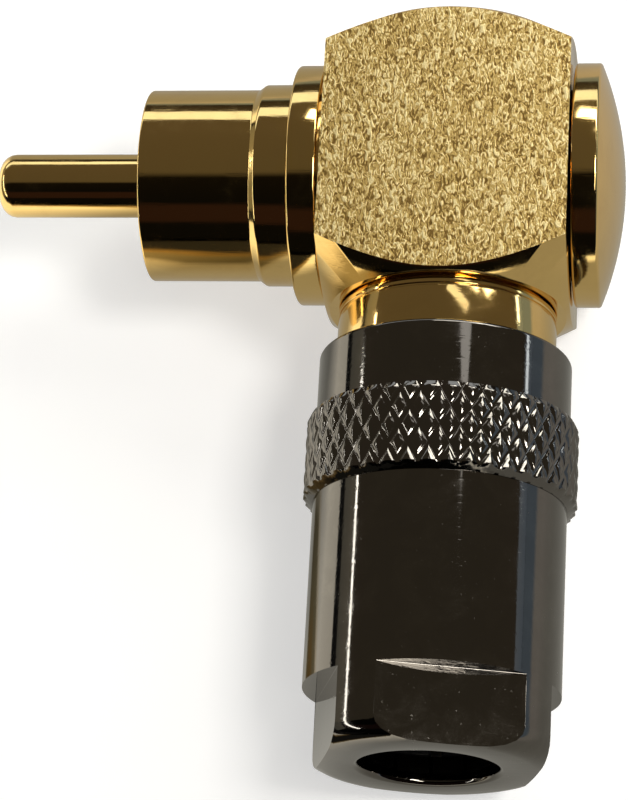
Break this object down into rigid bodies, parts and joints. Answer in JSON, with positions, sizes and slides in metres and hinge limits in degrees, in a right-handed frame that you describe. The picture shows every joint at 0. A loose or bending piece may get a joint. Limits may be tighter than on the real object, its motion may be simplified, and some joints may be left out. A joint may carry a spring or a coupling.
{
  "type": "right-angle rca plug",
  "caption": "Right-angle coaxial plug with a gilt contact pin and sleeve, a square elbow with a screw cap, and a knurled screw-on cable barrel.",
  "frame": {"origin": "on the contact pin's axis, in the plane of the contact sleeve's mouth", "axes": "-X the way the pin points, -Y the way the cable leaves the barrel, +Z out of the frosted front of the elbow; the plug lies on its back, as in the picture taken from above"},
  "size_m": [0.0315, 0.0368, 0.0132],
  "materials": {
    "gold_plate": "gold plated and polished",
    "frosted_gold": "gold plated, front face blasted",
    "black_chrome": "dark plated and polished",
    "white_insulator": "turned, waxy",
    "liner_plastic": "smooth",
    "collet_plastic": "moulded"
  },
  "bodies": {
    "elbow": {"elbow_body": "frosted_gold", "contact_sleeve": "gold_plate", "centre_pin": "gold_plate", "front_insulator": "white_insulator", "tail_insulator": "white_insulator", "neck_tube": "gold_plate", "ground_lug": "gold_plate"},
    "clamp_carriage": {"barrel_liner": "liner_plastic", "thrust_ring": "white_insulator", "cable_collet": "collet_plastic"},
    "barrel": {"barrel": "black_chrome"},
    "cap_carriage": {"cap_insulator": "white_insulator"},
    "end_cap": {"end_cap": "gold_plate"}
  },
  "joints": [
    {"name": "clamp_travel", "type": "slide", "parent": "elbow", "child": "clamp_carriage", "axis": [0, -1, 0], "range_m": [0, 0.0045]},
    {"name": "barrel_screw", "type": "hinge", "parent": "clamp_carriage", "child": "barrel", "pos_m": [0.01515, -0.02, 0], "axis": [0, -1, 0], "range_deg": [0, 2160]},
    {"name": "cap_travel", "type": "slide", "parent": "elbow", "child": "cap_carriage", "axis": [1, 0, 0], "range_m": [0, 0.00225]},
    {"name": "cap_screw", "type": "hinge", "parent": "cap_carriage", "child": "end_cap", "pos_m": [0.02, 0, 0], "axis": [1, 0, 0], "range_deg": [0, 1080]}
  ],
  "couplings": [
    {"joint": "barrel_screw", "follows": "clamp_travel", "rad_per_m": 8377.6},
    {"joint": "cap_screw", "follows": "cap_travel", "rad_per_m": 8377.6}
  ]
}
